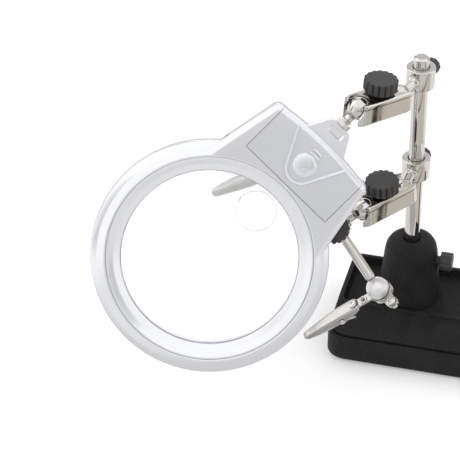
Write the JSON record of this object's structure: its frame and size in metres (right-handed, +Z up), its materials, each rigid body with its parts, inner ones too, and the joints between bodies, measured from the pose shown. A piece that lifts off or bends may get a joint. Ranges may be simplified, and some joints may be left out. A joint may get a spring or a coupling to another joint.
{
  "type": "magnifying lamp",
  "caption": "Hobby magnifying lamp: a round framed lens with a battery housing and two gripping clips on jointed arms, carried by a post on a heavy tray base.",
  "frame": {"origin": "centre of the rubber pad that the base stands on, at the bench", "axes": "+Z up, +X along the base away from the lens, -Y towards the user"},
  "size_m": [0.2663, 0.1411, 0.1663],
  "materials": {
    "cast_black": "matte",
    "pad": "matte",
    "knob": "satin",
    "chrome": "polished",
    "steel": "satin",
    "shell": "satin",
    "cover": "satin",
    "lens": "polished",
    "led": "gloss",
    "cell": "satin",
    "switch": "matte"
  },
  "bodies": {
    "base": {"base_casting": "cast_black", "base_pad": "pad", "column_rod": "chrome"},
    "column_screw": {"column_set_screw": "knob"},
    "upper_collar": {"upper_collar": "chrome", "upper_collar_stud": "chrome"},
    "upper_collar_screw": {"upper_collar_screw": "knob"},
    "lower_collar": {"lower_collar": "chrome", "lower_collar_stud": "chrome"},
    "lower_collar_screw": {"lower_collar_screw": "knob"},
    "upper_far_ball": {"upper_arm_far_ball": "chrome"},
    "upper_arm": {"upper_arm_top_plate": "chrome", "upper_arm_bottom_plate": "chrome", "upper_arm_bolt": "steel", "upper_arm_spring": "steel"},
    "upper_arm_knob": {"upper_arm_knob": "knob"},
    "lower_far_ball": {"lower_arm_far_ball": "chrome"},
    "lower_arm": {"lower_arm_top_plate": "chrome", "lower_arm_bottom_plate": "chrome", "lower_arm_bolt": "steel", "lower_arm_spring": "steel"},
    "lower_arm_knob": {"lower_arm_knob": "knob"},
    "head_ball": {"head_ball": "chrome"},
    "head_stud": {"head_stud": "chrome", "head_stud_nut": "chrome"},
    "head": {"head_front_shell": "shell", "head_rear_shell": "shell", "bezel_ring": "shell", "main_lens": "lens", "insert_lens": "lens", "battery_cell_1": "cell", "battery_cell_2": "cell", "battery_contact_left": "steel", "battery_contact_right": "steel", "led_left": "led", "led_right": "led"},
    "battery_cover": {"battery_cover": "cover"},
    "switch_slider": {"switch_slider": "switch"},
    "block_ball": {"block_ball": "chrome"},
    "block": {"crossbar_block": "chrome", "block_stud": "chrome"},
    "block_knob": {"crossbar_knob": "knob", "crossbar_screw": "steel"},
    "crossbar": {"crossbar_rod": "chrome"},
    "lower_end_ball": {"lower_end_ball": "chrome"},
    "lower_bracket": {"lower_clip_bracket": "chrome"},
    "lower_bracket_screw": {"lower_bracket_screw": "steel"},
    "lower_clip": {"lower_clip_upper_jaw": "chrome", "lower_clip_pin": "steel", "lower_clip_rivet": "steel", "lower_clip_spring": "steel"},
    "lower_clip_lower_jaw": {"lower_clip_lower_jaw": "chrome"},
    "upper_end_ball": {"upper_end_ball": "chrome"},
    "upper_bracket": {"upper_clip_bracket": "chrome"},
    "upper_bracket_screw": {"upper_bracket_screw": "steel"},
    "upper_clip": {"upper_clip_upper_jaw": "chrome", "upper_clip_pin": "steel", "upper_clip_rivet": "steel", "upper_clip_spring": "steel"},
    "upper_clip_lower_jaw": {"upper_clip_lower_jaw": "chrome"}
  },
  "joints": [
    {"name": "column_screw_turn", "type": "hinge", "parent": "base", "child": "column_screw", "pos_m": [-0.0323, 0.0074, 0.042], "axis": [1, 0, 0], "continuous": true},
    {"name": "upper_collar_turn", "type": "hinge", "parent": "base", "child": "upper_collar", "pos_m": [-0.0443, 0.0074, 0.1519], "axis": [0, 0, 1], "range_deg": [-1, 75]},
    {"name": "upper_collar_screw_turn", "type": "hinge", "parent": "upper_collar", "child": "upper_collar_screw", "pos_m": [-0.0443, 0.0074, 0.1519], "axis": [0.3272, 0.9449, 0], "continuous": true},
    {"name": "lower_collar_slide", "type": "slide", "parent": "base", "child": "lower_collar", "axis": [0, 0, 1], "range_m": [-0.025, 0.001]},
    {"name": "lower_collar_screw_turn", "type": "hinge", "parent": "lower_collar", "child": "lower_collar_screw", "pos_m": [-0.0443, 0.0074, 0.0983], "axis": [0.1323, 0.9912, 0], "continuous": true},
    {"name": "upper_arm_swing", "type": "hinge", "parent": "upper_collar", "child": "upper_far_ball", "pos_m": [-0.05129, -0.01277, 0.1519], "axis": [0.0448, 0.0534, 0.9976], "range_deg": [-1, 40]},
    {"name": "upper_arm_tilt", "type": "hinge", "parent": "upper_far_ball", "child": "upper_arm", "pos_m": [-0.05129, -0.01277, 0.1519], "axis": [0.766, -0.6428, 0], "range_deg": [-14, 0]},
    {"name": "upper_arm_knob_turn", "type": "hinge", "parent": "upper_arm", "child": "upper_arm_knob", "pos_m": [-0.05917, -0.02217, 0.15276], "axis": [0.0448, 0.0534, 0.9976], "continuous": true},
    {"name": "lower_arm_swing", "type": "hinge", "parent": "lower_collar", "child": "lower_far_ball", "pos_m": [-0.04712, -0.01376, 0.0983], "axis": [-0.056, -0.0668, 0.9962], "range_deg": [0, 3]},
    {"name": "lower_arm_tilt", "type": "hinge", "parent": "lower_far_ball", "child": "lower_arm", "pos_m": [-0.04712, -0.01376, 0.0983], "axis": [0.766, -0.6428, 0], "range_deg": [-1, 16]},
    {"name": "lower_arm_knob_turn", "type": "hinge", "parent": "lower_arm", "child": "lower_arm_knob", "pos_m": [-0.055, -0.02315, 0.09723], "axis": [-0.056, -0.0668, 0.9962], "continuous": true},
    {"name": "head_swing", "type": "hinge", "parent": "upper_arm", "child": "head_ball", "pos_m": [-0.06706, -0.03157, 0.15362], "axis": [0.0448, 0.0534, 0.9976], "range_deg": [-1, 14]},
    {"name": "head_tilt", "type": "hinge", "parent": "head_ball", "child": "head_stud", "pos_m": [-0.06706, -0.03157, 0.15362], "axis": [-0.7586, 0.0896, 0.6453], "range_deg": [0, 28]},
    {"name": "head_turn", "type": "hinge", "parent": "head_stud", "child": "head", "pos_m": [-0.06706, -0.03157, 0.15362], "axis": [0.6096, 0.4473, 0.6545], "range_deg": [-40, 1]},
    {"name": "battery_cover_slide", "type": "slide", "parent": "head", "child": "battery_cover", "axis": [0.6096, 0.4473, 0.6545], "range_m": [0, 0.015]},
    {"name": "switch_slide", "type": "slide", "parent": "head", "child": "switch_slider", "axis": [0.6096, 0.4473, 0.6545], "range_m": [0, 0.003]},
    {"name": "block_swing", "type": "hinge", "parent": "lower_arm", "child": "block_ball", "pos_m": [-0.06288, -0.03254, 0.09616], "axis": [-0.056, -0.0668, 0.9962], "range_deg": [-2, 4]},
    {"name": "block_tilt", "type": "hinge", "parent": "block_ball", "child": "block", "pos_m": [-0.06288, -0.03254, 0.09616], "axis": [0.0714, -0.8638, 0.4987], "range_deg": [-8, 16]},
    {"name": "crossbar_knob_turn", "type": "hinge", "parent": "block", "child": "block_knob", "pos_m": [-0.0747, -0.03849, 0.08753], "axis": [0.0714, -0.8638, 0.4987], "continuous": true},
    {"name": "crossbar_slide", "type": "slide", "parent": "block", "child": "crossbar", "axis": [0.66, -0.334, -0.673], "range_m": [-0.018, 0.018]},
    {"name": "lower_ball_turn", "type": "hinge", "parent": "crossbar", "child": "lower_end_ball", "pos_m": [-0.05061, -0.05068, 0.06296], "axis": [0.66, -0.334, -0.673], "range_deg": [-60, 60]},
    {"name": "lower_bracket_swing", "type": "hinge", "parent": "lower_end_ball", "child": "lower_bracket", "pos_m": [-0.05061, -0.05068, 0.06296], "axis": [-0.441, -0.4316, 0.7869], "range_deg": [-60, 60]},
    {"name": "lower_bracket_screw_turn", "type": "hinge", "parent": "lower_bracket", "child": "lower_bracket_screw", "pos_m": [-0.04315, -0.05822, 0.06301], "axis": [-0.441, -0.4316, 0.7869], "continuous": true},
    {"name": "lower_clip_swivel", "type": "hinge", "parent": "lower_bracket", "child": "lower_clip", "pos_m": [-0.0627, -0.05454, 0.05407], "axis": [-0.441, -0.4316, 0.7869], "range_deg": [-8, 8]},
    {"name": "lower_jaw_open", "type": "hinge", "parent": "lower_clip", "child": "lower_clip_lower_jaw", "pos_m": [-0.06787, -0.05496, 0.0456], "axis": [0.4434, -0.8671, -0.2271], "range_deg": [0, 25], "stiffness_Nm_per_rad": 0.02, "springref_deg": -17.19},
    {"name": "upper_ball_turn", "type": "hinge", "parent": "crossbar", "child": "upper_end_ball", "pos_m": [-0.09878, -0.0263, 0.11209], "axis": [-0.66, 0.334, 0.673], "range_deg": [-60, 30]},
    {"name": "upper_bracket_swing", "type": "hinge", "parent": "upper_end_ball", "child": "upper_bracket", "pos_m": [-0.09878, -0.0263, 0.11209], "axis": [0.3041, -0.9383, -0.1644], "range_deg": [-50, 60]},
    {"name": "upper_bracket_screw_turn", "type": "hinge", "parent": "upper_bracket", "child": "upper_bracket_screw", "pos_m": [-0.09132, -0.02272, 0.10547], "axis": [0.3041, -0.9383, -0.1644], "continuous": true},
    {"name": "upper_clip_swivel", "type": "hinge", "parent": "upper_bracket", "child": "upper_clip", "pos_m": [-0.11209, -0.02933, 0.10474], "axis": [0.3041, -0.9383, -0.1644], "range_deg": [-8, 8]},
    {"name": "upper_jaw_open", "type": "hinge", "parent": "upper_clip", "child": "upper_clip_lower_jaw", "pos_m": [-0.12109, -0.02714, 0.10116], "axis": [0.4129, 0.2854, -0.8649], "range_deg": [0, 25], "stiffness_Nm_per_rad": 0.02, "springref_deg": -17.19}
  ]
}
